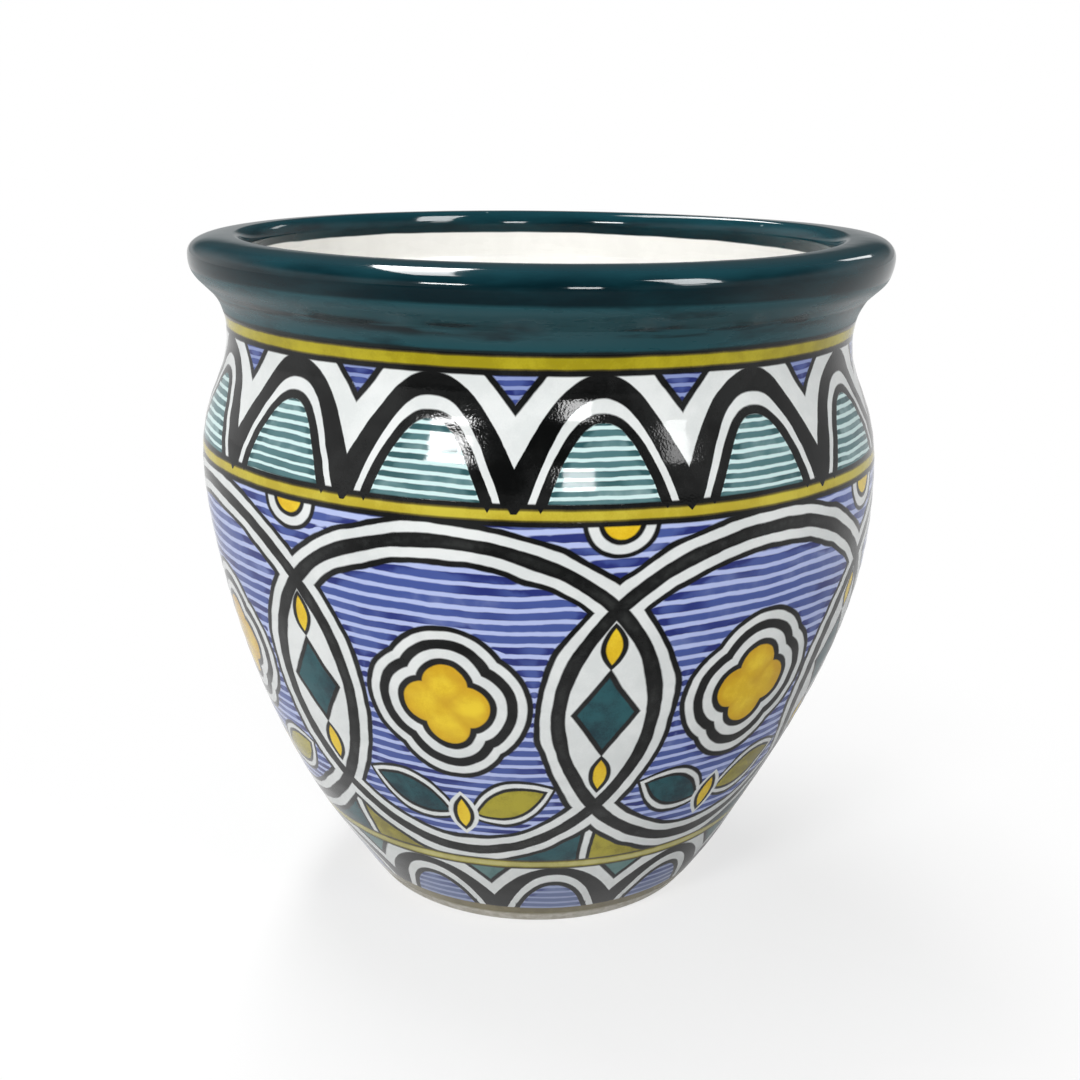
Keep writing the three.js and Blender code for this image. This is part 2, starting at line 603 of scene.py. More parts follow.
@dataclass
class Brush:
    """A painter's hand on one graph: the place it paints and the strokes it knows."""

    graph: Coat
    angle: Signal
    height: Signal
    washes: dict[Pigment, Signal] = field(default_factory=dict)

    @property
    def place(self) -> Signal:
        """The place that it paints."""
        return self.graph.place

    def wash(self, pigment: Pigment) -> Signal:
        """A pigment's colour with its pools, mixed once.

        Args:
            pigment: The pigment.

        Returns:
            Its colour.
        """
        if pigment not in self.washes:
            self.washes[pigment] = self.graph.washed(pigment)
        return self.washes[pigment]

    def fill(self, paint: Union[Pigment, Hatching], row: Signal, edge: Signal) -> Signal:
        """A field's colour: a plain wash, or ruled strokes that stop at its edge.

        Args:
            paint: A pigment, or the colours of ruled strokes.
            row: The count of strokes upwards.
            edge: The millimetres to the field's edge.

        Returns:
            The colour.
        """
        if isinstance(paint, Pigment):
            return self.wash(paint)
        colours = dict(zip(("Gap", "Stroke", "Pooled"), paint.value))
        return self.graph.call(HATCH, Place=self.place, Row=row, Edge=edge, **colours)["Color"]

    def nested(self, under: Signal, distance: Signal, rings: Iterable[tuple[float, Paint]]) -> Signal:
        """Lay colours inside each other.

        Args:
            under: The colour outside all of them.
            distance: A distance that falls inwards.
            rings: The distance where each colour starts, and the colour, from the outside in.

        Returns:
            The colours laid over each other.
        """
        for start, paint in rings:
            colour = self.wash(paint) if isinstance(paint, Pigment) else paint
            under = self.graph.over(under, colour, self.graph.within(distance, start))
        return under


Paint = Union[Pigment, Signal]
OUTLINES = (Pigment.INK, Pigment.GROUND, Pigment.INK)


@dataclass(frozen=True)
class Stripe:
    """A stripe drawn on the turning wheel, with a dark line along each side, in millimetres.

    The shakes of the hand are a noise's scale and width.
    """

    shakes: ClassVar[tuple[tuple[float, float], ...]] = ((9.0, 1.1), (90.0, 0.4))
    middle: float
    half: float
    line: float
    line_drop: float = 0.0
    bleed: float = 0.45
    paint: Pigment = Pigment.MUSTARD
    edge: Pigment = Pigment.INK
    shade: Pigment = Pigment.OLIVE

    def lay(self, brush: Brush, under: Signal) -> Signal:
        """Paint the dark lines, then the stripe's own colour, darker along its sides.

        Args:
            brush: The brush and the point that it paints.
            under: The colour below.

        Returns:
            The colour with the stripe on it.
        """
        graph = brush.graph
        z = graph.parts(graph.millimetres(brush.place))[2]
        slow, quick = (graph.shake(brush.place, *shake) for shake in self.shakes)
        level = z + (slow + quick) - self.middle
        colour = brush.nested(under, abs(level + self.line_drop), ((self.half + self.line, self.edge),))
        rings = ((self.half, self.shade), (self.half - self.bleed, self.paint))
        return brush.nested(colour, abs(level), rings)


@dataclass(frozen=True)
class Arch:
    """One edge of a painted arch: its crown and its foot, in millimetres, and how square it is."""

    crown: float
    foot: float
    power: float

    def spare(self, across: Signal, up: Signal) -> Signal:
        """How far below the edge a point lies."""
        return (1.0 - (across / self.foot) ** self.power) * self.crown - up


@dataclass(frozen=True)
class PaintedGlaze(Glaze):
    """Underglaze painting under a clear glossy glaze."""

    wander: float
    black: ClassVar[tuple[float, float]] = (0.05, 0.02)

    def lay(self, brush: Brush) -> Signal:
        """Paint the band and return its colour."""
        raise NotImplementedError

    def dress(self, coat: Coat) -> None:
        """Paint the band and glaze it, with grit where the paint is black.

        Args:
            coat: The material to fill.
        """
        hand = coat.call(WANDER, Place=coat.place, Wander=self.wander)
        colour = self.lay(Brush(coat, hand["Angle"], hand["Height"]))
        self.fire(coat, colour, ink=coat.rise(coat.grey(colour), *self.black))


@dataclass(frozen=True)
class ArcadePaint(PaintedGlaze):
    """A row of double arches with ruled fields, and pointed fields hanging between them.

    Sizes are in millimetres. How the drips vary is a noise's scale and width.
    """

    count: int = 14
    crown_angle: float = 9.2
    span: float = 48.5
    base: float = 159.0
    arches: tuple[Arch, ...] = ()
    pendant_half: float = 9.6
    pendant_top: float = 35.0
    pendant_depth: float = 11.5
    pendant_line: float = 2.0
    drip_half: float = 2.0
    drip_long: float = 3.0
    drip_mean: float = 0.95
    drip_vary: tuple[float, float] = (11.0, 1.6)
    drip_soft: float = 0.2
    drip_top: tuple[float, float] = (2.0, 1.0)
    leg_share: float = 0.5
    leg_taper: float = 0.9
    pitch: float = 2.6
    field_paint: Hatching = Hatching.TURQUOISE
    pendant_paint: Union[Pigment, Hatching] = Hatching.COBALT
    stripes: tuple[Stripe, ...] = ()

    def lay(self, brush: Brush) -> Signal:
        """Paint the arcade, the stripes along it, and the tips of the arches' feet that run over them.

        Args:
            brush: The brush and the point that it paints.

        Returns:
            The band's colour.
        """
        graph = brush.graph
        turn = (brush.angle - math.radians(self.crown_angle)) * (self.count / math.tau)
        across = abs(turn - turn.nearest()) * self.span
        from_foot = self.span / 2 - across
        up = brush.height - self.base
        row = brush.height / self.pitch
        ink, ground = brush.wash(Pigment.INK), brush.wash(Pigment.GROUND)

        slope = self.pendant_depth / self.pendant_half
        hang = (from_foot * slope + self.pendant_top - self.pendant_depth - up) / math.hypot(1.0, slope)
        pendant = brush.fill(self.pendant_paint, row, self.pendant_line * -1.0 - hang)
        colour = brush.nested(ground, hang, ((0.0, ink), (-self.pendant_line, pendant)))

        inner = self.arches[-1]
        inset = (1.0 - graph.most(up, 0.0) / inner.crown) ** (1.0 / inner.power) * inner.foot - across
        ruled = brush.fill(self.field_paint, row, inset)
        for arch, paint in zip(self.arches, (ink, ground, ink, ruled)):
            colour = graph.over(colour, paint, graph.rise(arch.spare(across, up), -SOFT, SOFT))
        for stripe in self.stripes:
            colour = stripe.lay(brush, colour)
        run = graph.shake(brush.place, *self.drip_vary) + self.drip_mean
        below = graph.most(up * -1.0, 0.0) / (run * self.drip_long)
        from_leg = abs(across - (self.arches[-2].foot + inner.foot) / 2)
        leg = from_leg / (self.drip_half * self.leg_share) + below * self.leg_taper
        tips = graph.least(from_foot / self.drip_half, leg) + below - 1.0
        on_foot = graph.within(tips * self.drip_half, 0.0, self.drip_soft)
        return graph.over(colour, ink, on_foot * graph.within(up, *self.drip_top))


@dataclass(frozen=True)
class Roundels:
    """Where a point of the main band lies among its roundels, in millimetres."""

    x: Signal
    across: Signal
    up: Signal
    from_axis: Signal
    own: Signal
    other: Signal
    trace: Signal


@dataclass(frozen=True)
class RoundelPaint(PaintedGlaze):
    """Interlaced roundels with flowers and leaves, lozenges in the crossings and split fields below.

    Sizes are in millimetres, and rings are distances from a motif's edge, from the outside in.
    """

    count: int = 7
    first_angle: float = -14.0
    span: float = 96.0
    middle: float = 93.5
    wide: float = 62.0
    tall: float = 55.0
    heavy: float = 2.3
    press: tuple[float, float] = (45.0, 0.6)
    dry_core: tuple[float, float] = (0.8, 0.2)
    dry_scale: float = 170.0
    dry_patch: tuple[float, float] = (0.36, 0.62)
    dry_most: float = 0.5
    border: float = 3.2
    fine: float = 1.9
    flower_up: float = 3.0
    lobe: float = 6.8
    lobe_out: float = 6.5
    flower_rings: tuple[float, ...] = (13.0, 11.2, 8.5, 5.2, 2.1, 0.0)
    flower_edge: Colour = srgb(206, 152, 20)
    flower_pool: tuple[float, float] = (-5.0, 1.0)
    flower_vary: tuple[float, float] = (110.0, 12.0)
    flower_most: float = 0.7
    leaf_out: float = 17.5
    leaf_down: float = 33.0
    leaf_long: float = 13.0
    leaf_half: float = 5.2
    leaf_tilt: float = 22.0
    leaf_rings: tuple[float, ...] = (4.4, 3.0, 1.3, 0.0)
    bud_down: float = 38.5
    bud_rings: tuple[float, ...] = (2.9, 1.2, -0.4)
    sun_up: float = 61.0
    sun: float = 5.0
    sun_rings: tuple[float, ...] = (5.6, 4.2, 1.5, 0.0)
    split_rings: tuple[float, ...] = (3.0, 1.4)
    split_top: tuple[float, float] = (0.0, -2.0)
    split_side: tuple[float, float] = (0.0, 1.0)
    lozenge_half: float = 8.4
    lozenge_tall: float = 12.5
    lozenge_up: float = 1.0
    lozenge_scale: float = 0.83
    lozenge_rings: tuple[float, ...] = (1.6, 0.0)
    seed_half: float = 2.7
    seed_tall: float = 6.4
    seed_out: float = 22.5
    seed_rings: tuple[float, ...] = (1.1, -0.5)
    least_pitch: float = 2.9
    pitch_gain: float = 0.0065
    stripes: tuple[Stripe, ...] = ()

    def lay(self, brush: Brush) -> Signal:
        """Paint the ruled ground, the motifs, the tracery and the stripes over each other.

        Args:
            brush: The brush and the point that it paints.

        Returns:
            The band's colour.
        """
        at = self.place(brush)
        flower = self.flower(brush.graph, at)
        colour = self.lay_ground(brush, at, flower)
        colour = self.lay_leaves(brush, at, colour)
        colour = self.lay_flower(brush, flower, colour)
        colour = self.lay_tracery(brush, at, colour)
        for stripe in self.stripes:
            colour = stripe.lay(brush, colour)
        return colour

    def place(self, brush: Brush) -> Roundels:
        """Measure a point from the nearest roundel, its neighbour and the axis of their crossing.

        Args:
            brush: The brush and the point that it paints.

        Returns:
            Where the point lies.
        """
        graph = brush.graph
        turn = (brush.angle - math.radians(self.first_angle)) * (self.count / math.tau)
        x = (turn - turn.nearest()) * self.span
        across = abs(x)
        up = brush.height - self.middle
        level = up * (self.wide / self.tall)
        own = graph.reach(across, level) - self.wide
        other = graph.reach(self.span - across, level) - self.wide
        press = graph.shake(brush.place, *self.press) + 1.0
        trace = graph.least(abs(own), abs(other)) * press
        return Roundels(x, across, up, self.span / 2 - across, own, other, trace)

    def flower(self, graph: Graph, at: Roundels) -> Signal:
        """Distance to the four-lobed flower's edge, negative inside.

        Args:
            graph: The material's graph.
            at: Where the point lies among the roundels.

        Returns:
            The distance in millimetres.
        """
        rise = abs(at.up - self.flower_up)
        side = graph.reach(at.across - self.lobe_out, rise)
        top = graph.reach(at.across, rise - self.lobe_out)
        return graph.least(side, top) - self.lobe

    def lay_ground(self, brush: Brush, at: Roundels, flower: Signal) -> Signal:
        """Rule the whole band, split the fields below the roundels, and hang a half sun above each crossing.

        Args:
            brush: The brush and the point that it paints.
            at: Where the point lies among the roundels.
            flower: The distance to the flower's edge.

        Returns:
            The ground's colour.
        """
        graph = brush.graph
        edge = graph.least(at.trace - self.heavy - self.border - self.fine, flower - self.flower_rings[0])
        row = graph.math("LOGARITHM", brush.height * self.pitch_gain + self.least_pitch, math.e)
        colour = brush.fill(Hatching.BLUE, row / self.pitch_gain, edge)
        halves = graph.over(brush.wash(Pigment.TEAL), brush.wash(Pigment.OLIVE), graph.within(at.x, 0.0))
        halves = brush.nested(halves, at.from_axis, zip(self.split_rings, OUTLINES))
        outside = graph.least(at.own, at.other)
        below = graph.rise(at.up, *self.split_top) * graph.rise(outside, *self.split_side)
        colour = graph.over(colour, halves, below)
        sun = graph.reach(at.from_axis, at.up - self.sun_up) - self.sun
        return brush.nested(colour, sun, zip(self.sun_rings, (*OUTLINES, Pigment.YELLOW)))

    def lay_leaves(self, brush: Brush, at: Roundels, under: Signal) -> Signal:
        """Paint a pair of leaves and a bud under the flower.

        Args:
            brush: The brush and the point that it paints.
            at: Where the point lies among the roundels.
            under: The colour below.

        Returns:
            The colour with the leaves on it.
        """
        graph = brush.graph
        cos, sin = math.cos(math.radians(self.leaf_tilt)), math.sin(math.radians(self.leaf_tilt))
        out, rise = at.across - self.leaf_out, at.up + self.leaf_down
        along = out * cos + rise * sin
        aside = abs(rise * cos - out * sin)
        leaf = aside - (1.0 - (along / self.leaf_long) ** 2.0) * self.leaf_half
        fill = graph.over(brush.wash(Pigment.OLIVE), brush.wash(Pigment.TEAL), graph.within(at.x, 0.0))
        colour = brush.nested(under, leaf, zip(self.leaf_rings, (*OUTLINES, fill)))
        bud = self.seed(at.across, at.up + self.bud_down)
        return brush.nested(colour, bud, zip(self.bud_rings, (*OUTLINES[1:], Pigment.YELLOW)))

    def seed(self, aside: Signal, up: Signal) -> Signal:
        """Distance to a seed's edge, negative inside."""
        return (aside / self.seed_half + (up / self.seed_tall) ** 2.0 - 1.0) * self.seed_half

    def lay_flower(self, brush: Brush, flower: Signal, under: Signal) -> Signal:
        """Paint the flower, darker along its edge, and the outlines around it.

        Args:
            brush: The brush and the point that it paints.
            flower: The distance to the flower's edge.
            under: The colour below.

        Returns:
            The colour with the flower on it.
        """
        graph = brush.graph
        uneven = flower + graph.shake(brush.place, *self.flower_vary)
        pooled = graph.rise(uneven, *self.flower_pool) * self.flower_most
        yellow = graph.over(brush.wash(Pigment.YELLOW), self.flower_edge, pooled)
        return brush.nested(under, flower, zip(self.flower_rings, (*OUTLINES, *OUTLINES[1:], yellow)))

    def lay_tracery(self, brush: Brush, at: Roundels, under: Signal) -> Signal:
        """Paint the roundels' lines, and a lozenge between two seeds where they cross.

        Args:
            brush: The brush and the point that it paints.
            at: Where the point lies among the roundels.
            under: The colour below.

        Returns:
            The colour with the tracery on it.
        """
        graph = brush.graph
        white = self.heavy + self.border
        colour = brush.nested(under, at.trace, ((white + self.fine, Pigment.INK), (white, Pigment.GROUND)))
        crossing = graph.most(at.own, at.other)
        colour = brush.nested(colour, crossing, ((-self.heavy, Pigment.GROUND),))
        tall = abs(at.up - self.lozenge_up) / self.lozenge_tall
        lozenge = (at.from_axis / self.lozenge_half + tall - 1.0) * (self.lozenge_half * self.lozenge_scale)
        colour = brush.nested(colour, lozenge, zip(self.lozenge_rings, (Pigment.INK, Pigment.TEAL)))
        seed = self.seed(at.from_axis, abs(at.up - self.lozenge_up) - self.seed_out)
        colour = brush.nested(colour, seed, zip(self.seed_rings, (Pigment.INK, Pigment.YELLOW)))
        core = graph.rise(at.trace, *(self.heavy * share for share in self.dry_core))
        dry = core * graph.rise(graph.cloud(brush.place, self.dry_scale), *self.dry_patch)
        stroke = graph.over(brush.wash(Pigment.INK), brush.wash(Pigment.SOOT), dry * self.dry_most)
        return brush.nested(colour, at.trace, ((self.heavy, stroke),))


@dataclass(frozen=True)
class RimGlaze(Glaze):
    """Dark teal glaze on the rim and collar: thin on the crest, thick in the crease, white inside.

    Painted light is laid into its colour too: a painted sheen on the crest, painted shade in the crease, and
    a painted reflection of the pale floor under the roll.
    """

    name: str = "rim_glaze"
    deep: Colour = srgb(2, 29, 36)
    bright: Colour = srgb(8, 46, 53)
    # Lighter teal of the crest: thin glaze, and a painted sheen.
    thin: Colour = srgb(28, 74, 84)
    # Darker teal of the crease: pooled glaze, and painted shade under the roll.
    pooled: Colour = srgb(4, 28, 34)
    # Lighter teal under the roll and on the collar: a painted reflection of the pale floor.
    collar: Colour = srgb(34, 80, 88)
    hem: Colour = srgb(20, 26, 25)
    scuff: Colour = srgb(150, 168, 172)
    hem_edge: float = 199.8
    crest: float = 219.7
    edge: float = 213.2
    crease: float = 205.7
    inner_radius: float = 101.5
    inner_edge: float = 214.9
    inner_shake: tuple[float, float] = (30.0, 1.8)

    def dress(self, coat: Coat) -> None:
        """Glaze the rim and the collar, from the streaked ground to the white edge inside.

        Args:
            coat: The material to fill.
        """
        x, y, z = coat.parts(coat.millimetres(coat.place))
        along = coat.joined(x * 0.2, y * 0.2, z)
        streak = coat.cloud(along, 0.2, 4.0)
        patch = coat.cloud(coat.place, 26.0, 3.0)
        uneven = streak - 0.5
        colour = coat.over(self.deep, self.bright, coat.rise(streak + (patch - 0.5) * 0.5, 0.30, 0.74))
        # The crest is painted lighter: the glaze runs thin there, and a painted sheen stands for the
        # ceiling's reflection. The same mask places the scuffs.
        crest_wear_and_sheen = coat.rise(z + uneven * 5.0, self.crest - 2.6, self.crest + 2.4)
        colour = coat.over(colour, self.thin, crest_wear_and_sheen * 0.62)
        # Darker streaks around the crease: glaze pooled there, and painted shade where the roll overhangs.
        fine = coat.cloud(coat.joined(x * 0.08, y * 0.08, z), 0.45, 3.0)
        pool = coat.rise(fine * 0.6 + patch * 0.4, 0.45, 0.55)
        near = coat.rise(abs(z - self.crease + uneven * 4.0), 3.0, 0.6) * pool
        # Below the roll's edge the teal is painted lighter and streaky: a painted reflection of the pale
        # floor.
        under = coat.rise(z + uneven * 0.8, self.edge + 0.5, self.edge - 0.7)
        colour = coat.over(colour, self.collar, under * coat.rise(streak, 0.24, 0.54) * 0.9)
        colour = coat.over(colour, self.pooled, near)
        scratch = coat.rise(coat.cloud(coat.joined(x * 0.5, y * 0.5, z * 1.6), 0.5, 2.0), 0.70, 0.76)
        colour = coat.over(colour, self.scuff, scratch * crest_wear_and_sheen * coat.rise(patch, 0.54, 0.62) * 0.6)
        hemmed = coat.rise(z + uneven * 0.9, self.hem_edge + 0.5, self.hem_edge - 0.4)
        colour = coat.over(colour, self.hem, hemmed * 0.9)
        inside = coat.within(coat.reach(x, y), self.inner_radius)
        inside = inside * coat.within(z + coat.shake(coat.place, *self.inner_shake), self.inner_edge)
        colour = coat.over(colour, coat.washed(Pigment.LINING), inside)
        self.fire(coat, colour, matt=under * (streak * 0.3 + 0.06))


@dataclass(frozen=True)
class WhiteGlaze(Glaze):
    """Off-white glaze inside the pot, with a few iron specks."""

    name: str = "white_glaze"
    speck: Colour = srgb(176, 168, 148)

    def dress(self, coat: Coat) -> None:
        """Wash the lining white, with specks.

        Args:
            coat: The material to fill.
        """
        spot = coat.rise(coat.cloud(coat.place, 900.0, 1.0), 0.78, 0.82)
        self.fire(coat, coat.over(coat.washed(Pigment.LINING), self.speck, spot * 0.5))


@dataclass(frozen=True)
class BareClay(Finish):
    """Unglazed clay with a fine grog, and a brown line where the glaze was wiped off above it."""

    name: str = "bare_clay"
    wiped_edge: float = 4.4
    wiped_shake: tuple[float, float] = (30.0, 1.0)
    pale: Colour = srgb(222, 218, 209)
    dark: Colour = srgb(196, 190, 177)
    brown: Colour = srgb(128, 119, 86)
    grog: float = 0.12

    def dress(self, coat: Coat) -> None:
        """Grain the clay and stain it along the glaze's edge.

        Args:
            coat: The material to fill.
        """
        z = coat.parts(coat.millimetres(coat.place))[2]
        grain = coat.cloud(coat.place, 420.0, 5.0)
        clay = coat.over(self.pale, self.dark, coat.rise(grain, 0.34, 0.68))
        wiped = z + coat.shake(coat.place, *self.wiped_shake) - self.wiped_edge
        line = coat.rise(wiped, -0.6, 0.6)
        stained = coat.over(clay, self.brown, line * (grain * 0.4 + 0.7))
        coat.feed(Base_Color=stained, Roughness=0.85 - line * 0.5)
        coat.relief(grain * (1.0 - line * 0.8), self.grog)


@dataclass(frozen=True)
class SoftRubber(Finish):
    """Dark moulded rubber with a bloom on it."""

    name: str = "soft_rubber"
    dark: Colour = srgb(34, 35, 36)
    bloom: Colour = srgb(66, 67, 66)
    grain: float = 0.08

    def dress(self, coat: Coat) -> None:
        """Dust the rubber with its bloom and roughen it.

        Args:
            coat: The material to fill.
        """
        dust = coat.cloud(coat.place, 130.0, 5.0)
        colour = coat.over(self.dark, self.bloom, coat.rise(dust, 0.45, 0.75))
        coat.feed(Base_Color=colour, Roughness=dust * 0.25 + 0.5)
        coat.relief(coat.cloud(coat.place, 1500.0, 3.0), self.grain)


@dataclass(frozen=True)
class PotForm:
    """The pot's driving sizes in millimetres, the same as the frame's, and the curves they give."""

    foot_radius: float = 57.4
    foot_flare: float = 3.9
    foot_height: float = 5.0
    foot_width: float = 12.0
    belly_radius: float = 113.2
    belly_height: float = 148.4
    neck_radius: float = 103.55
    neck_height: float = 192.1
    crease_radius: float = 107.85
    crease_height: float = 205.7
    wall: float = 8.0
    foot_lean: float = 20.1
    foot_fullness: float = 29.1
    belly_fullness_below: float = 56.6
    belly_fullness_above: float = 24.1
    neck_fullness: float = 15.3
    collar_fullness: float = 8.0
    low_seam: float = 32.1
    bowl_seam: float = 72.1
    girth_seam: float = 114.1
    belt_seam: float = 156.7
    throat_seam: float = 178.1
    collar_seam: float = 199.1
    throwing_rise: float = 6.5
    throwing_depth: float = 0.3
    throwing_start: float = 10.0
    throwing_end: float = 6.0
    seam_margin: float = 0.1
    curve_points: int = 160

    @cached_property
    def wall_curve(self) -> list[Vector]:
        """The outside of the wall.

        Returns:
            The points, from the foot to the crease, with the radius as x and the height as y.
        """
        wall_foot = self.foot_radius + self.foot_flare
        third = self.collar_fullness * 2 / 3
        flare = (self.crease_radius - self.neck_radius) * 2 / 3
        rest = (self.crease_height - self.neck_height - self.collar_fullness) * 2 / 3
        knots = (
            (wall_foot, self.foot_height),
            (wall_foot + self.foot_lean, self.foot_height + self.foot_fullness),
            (self.belly_radius, self.belly_height - self.belly_fullness_below),
            (self.belly_radius, self.belly_height),
            (self.belly_radius, self.belly_height + self.belly_fullness_above),
            (self.neck_radius, self.neck_height - self.neck_fullness),
            (self.neck_radius, self.neck_height),
            (self.neck_radius, self.neck_height + third),
            (self.crease_radius - flare, self.crease_height - rest),
            (self.crease_radius, self.crease_height),
        )
        curve = [Vector(knots[0])]
        for start in range(0, len(knots) - 1, 3):
            stretch = (Vector(knot) for knot in knots[start : start + 4])
            curve += interpolate_bezier(*stretch, self.curve_points)[1:]
        return curve

    def radius(self, height: float) -> float:
        """Outer radius of the wall at a height.

        Args:
            height: The height in millimetres.

        Returns:
            The radius.
        """
        curve = self.wall_curve
        above = bisect_left(curve, height, key=lambda point: point.y)
        above = min(max(above, 1), len(curve) - 1)
        low, high = curve[above - 1], curve[above]
        share = (height - low.y) / (high.y - low.y)
        return low.x + (high.x - low.x) * share

    def inner_radius(self, height: float) -> float:
        """Inner radius of the wall at a height, with the rings that the thrower's fingers leave.

        Args:
            height: The height in millimetres.

        Returns:
            The radius.
        """
        above_base = (height - self.low_seam) / self.throwing_start
        below_rim = (self.crease_height - height) / self.throwing_end
        depth = self.throwing_depth * min(1.0, max(0.0, above_base), max(0.0, below_rim))
        return self.radius(height) - self.wall + depth * math.sin(height * math.tau / self.throwing_rise)

    def ring(self, low: float, high: float, step: float) -> list[Vector]:
        """The outline of a ring of wall, with close rows at its seams so that its shading runs on.

        Args:
            low: Height of the lower seam.
            high: Height of the upper seam.
            step: Greatest height of a row.

        Returns:
            The points of the outline, up the outside and down the inside.
        """
        start, end = low + self.seam_margin, high - self.seam_margin
        count = math.ceil((end - start) / step)
        levels = [low, *(start + (end - start) * index / count for index in range(count + 1)), high]
        outside = [Vector((self.radius(level), level)) for level in levels]
        inside = [Vector((self.inner_radius(level), level)) for level in reversed(levels)]
        return outside + inside


FORM = PotForm()
ROUND_HANDLE = 0.55


def rounded(corners: Sequence[tuple[float, float, float]], steps: int = 6) -> list[Vector]:
    """An outline with its corners rounded.

    Args:
        corners: Radius, height and rounding of each corner in turn, on a closed outline.
        steps: Points on each rounding.

    Returns:
        The points of the outline.
    """
    points = []
    spots = [Vector(corner[:2]) for corner in corners]
    for index, corner in enumerate(corners):
        here, rounding = spots[index], corner[2]
        if rounding == 0:
            points.append(here)
            continue
        start = here + (spots[index - 1] - here).normalized() * rounding
        end = here + (spots[(index + 1) % len(spots)] - here).normalized() * rounding
        handles = (start.lerp(here, ROUND_HANDLE), end.lerp(here, ROUND_HANDLE))
        points += interpolate_bezier(start, *handles, end, steps)
    return points


def climbed(height: float, start: float, end: float) -> float:
    """How far a height has come from a start to an end, from 0 to 1."""
    return min(1.0, max(0.0, (height - start) / (end - start)))


@dataclass(frozen=True)
class HandThrown:
    """How the thrown pot strays from a true round, in millimetres.

    Pairs are the heights where a bend starts and where it is full.
    """

    oval: float = 0.28
    three_sided: float = 0.16
    spiral: float = 0.05
    spiral_rise: float = 7.0
    firm_height: float = 60.0
    sway: float = 1.0
    sway_wave: float = 150.0
    sway_middle: float = 76.0
    sway_start: tuple[float, float] = (14.0, 30.0)
    sway_end: tuple[float, float] = (120.0, 170.0)
    sway_spent: float = 0.8
    lean: float = 0.4
    swell: float = 1.6
    swell_start: tuple[float, float] = (212.5, 221.5)

    def wobble(self, angle: float, height: float) -> float:
        """How far the wall leaves a circle.

        Args:
            angle: The bearing in radians, 0 at the front.
            height: The height in millimetres.

        Returns:
            The way outwards: slow ovals and a faint spiral, firmer near the foot.
        """
        slow = self.oval * math.sin(2 * angle + 0.6)
        slow += self.three_sided * math.sin(3 * angle + 1.9 + height * 0.02)
        spiral = self.spiral * math.sin(height * math.tau / self.spiral_rise + angle)
        return (slow + spiral) * min(1.0, height / self.firm_height)

    def aside(self, height: float) -> float:
        """How far the axis strays to the right at a height, between the true base and the truer neck.

        Args:
            height: The height in millimetres.

        Returns:
            The way to the right.
        """
        start = climbed(height, *self.sway_start)
        end = climbed(height, *self.sway_end)
        spent = self.sway_spent * end * end * (3.0 - 2.0 * end)
        wave = math.sin((height - self.sway_middle) * math.tau / self.sway_wave)
        return self.sway * wave * start * (1.0 - spent)

    def lift(self, across: float, height: float) -> float:
        """How far the top leans up to the right, where the roll of the rim is fuller too.

        Args:
            across: The place to the right of the axis.
            height: The height in millimetres.

        Returns:
            The way up.
        """
        share = across / FORM.belly_radius
        lean = self.lean * climbed(height, FORM.neck_height, FORM.crease_height) * share
        return lean + self.swell * climbed(height, *self.swell_start) * max(0.0, share) ** 4

    def moved(self, place: Vector) -> Vector:
        """Where a point of the true round lies on the thrown pot, both in metres.

        Args:
            place: The point on the true round.

        Returns:
            The point on the thrown pot.
        """
        x, y, height = place / MM
        out = 1 + self.wobble(math.atan2(x, -y), height) / math.hypot(x, y)
        return Vector((x * out + self.aside(height), y * out, height + self.lift(x, height))) * MM


THROWN = HandThrown()


@dataclass
class Turning:
    """A piece spun about the pot's axis from a closed outline of radius and height."""

    name: str
    outline: list[Vector]
    steps: int = 288
    thrown: bool = True
    merge: float = 1e-6
    sharp: float = 40.0

    def build(self) -> bpy.types.Object:
        """Spin the outline.

        Returns:
            The new object, at the origin.
        """
        shape = bmesh.new()
        ring = [shape.verts.new((0.0, point.x * MM, point.y * MM)) for point in self.outline]
        edges = [shape.edges.new(pair) for pair in zip(ring, ring[1:] + ring[:1])]
        bmesh.ops.spin(
            shape,
            geom=ring + edges,
            cent=(0, 0, 0),
            axis=(0, 0, 1),
            angle=math.tau,
            steps=self.steps,
            use_merge=True,
        )
        bmesh.ops.remove_doubles(shape, verts=shape.verts, dist=self.merge)
        if self.thrown:
            for vertex in shape.verts:
                vertex.co = THROWN.moved(vertex.co)
        bmesh.ops.recalc_face_normals(shape, faces=shape.faces)
        mesh = bpy.data.meshes.new(self.name)
        shape.to_mesh(mesh)
        shape.free()
        mesh.shade_smooth()
        mesh.set_sharp_from_angle(angle=math.radians(self.sharp))
        piece = bpy.data.objects.new(self.name, mesh)
        bpy.context.scene.collection.objects.link(piece)
        return piece


def attach(
    piece: bpy.types.Object, body: str, node: str, finishes: Sequence[bpy.types.Material]
) -> None:
    """Dress a piece and tie it to the frame.

    Args:
        piece: The piece.
        body: The body that carries it.
        node: The node that it stands for.
        finishes: Its materials in order.
    """
    for finish in finishes:
        piece.data.materials.append(finish)
    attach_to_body(piece, body)
    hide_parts(node)
    LOG.info("piece %s rides on %s and stands for %s", piece.name, body, node)


def line_inside(piece: bpy.types.Object, slot: int = 1) -> None:
    """Give the faces on the inner side of the wall another material slot.

    Args:
        piece: The ring of wall.
        slot: The slot of the lining.
    """
    for face in piece.data.polygons:
        middle = face.center
        radius = math.hypot(middle.x, middle.y) / MM
        if radius < FORM.radius(middle.z / MM) - FORM.wall / 2:
            face.material_index = slot


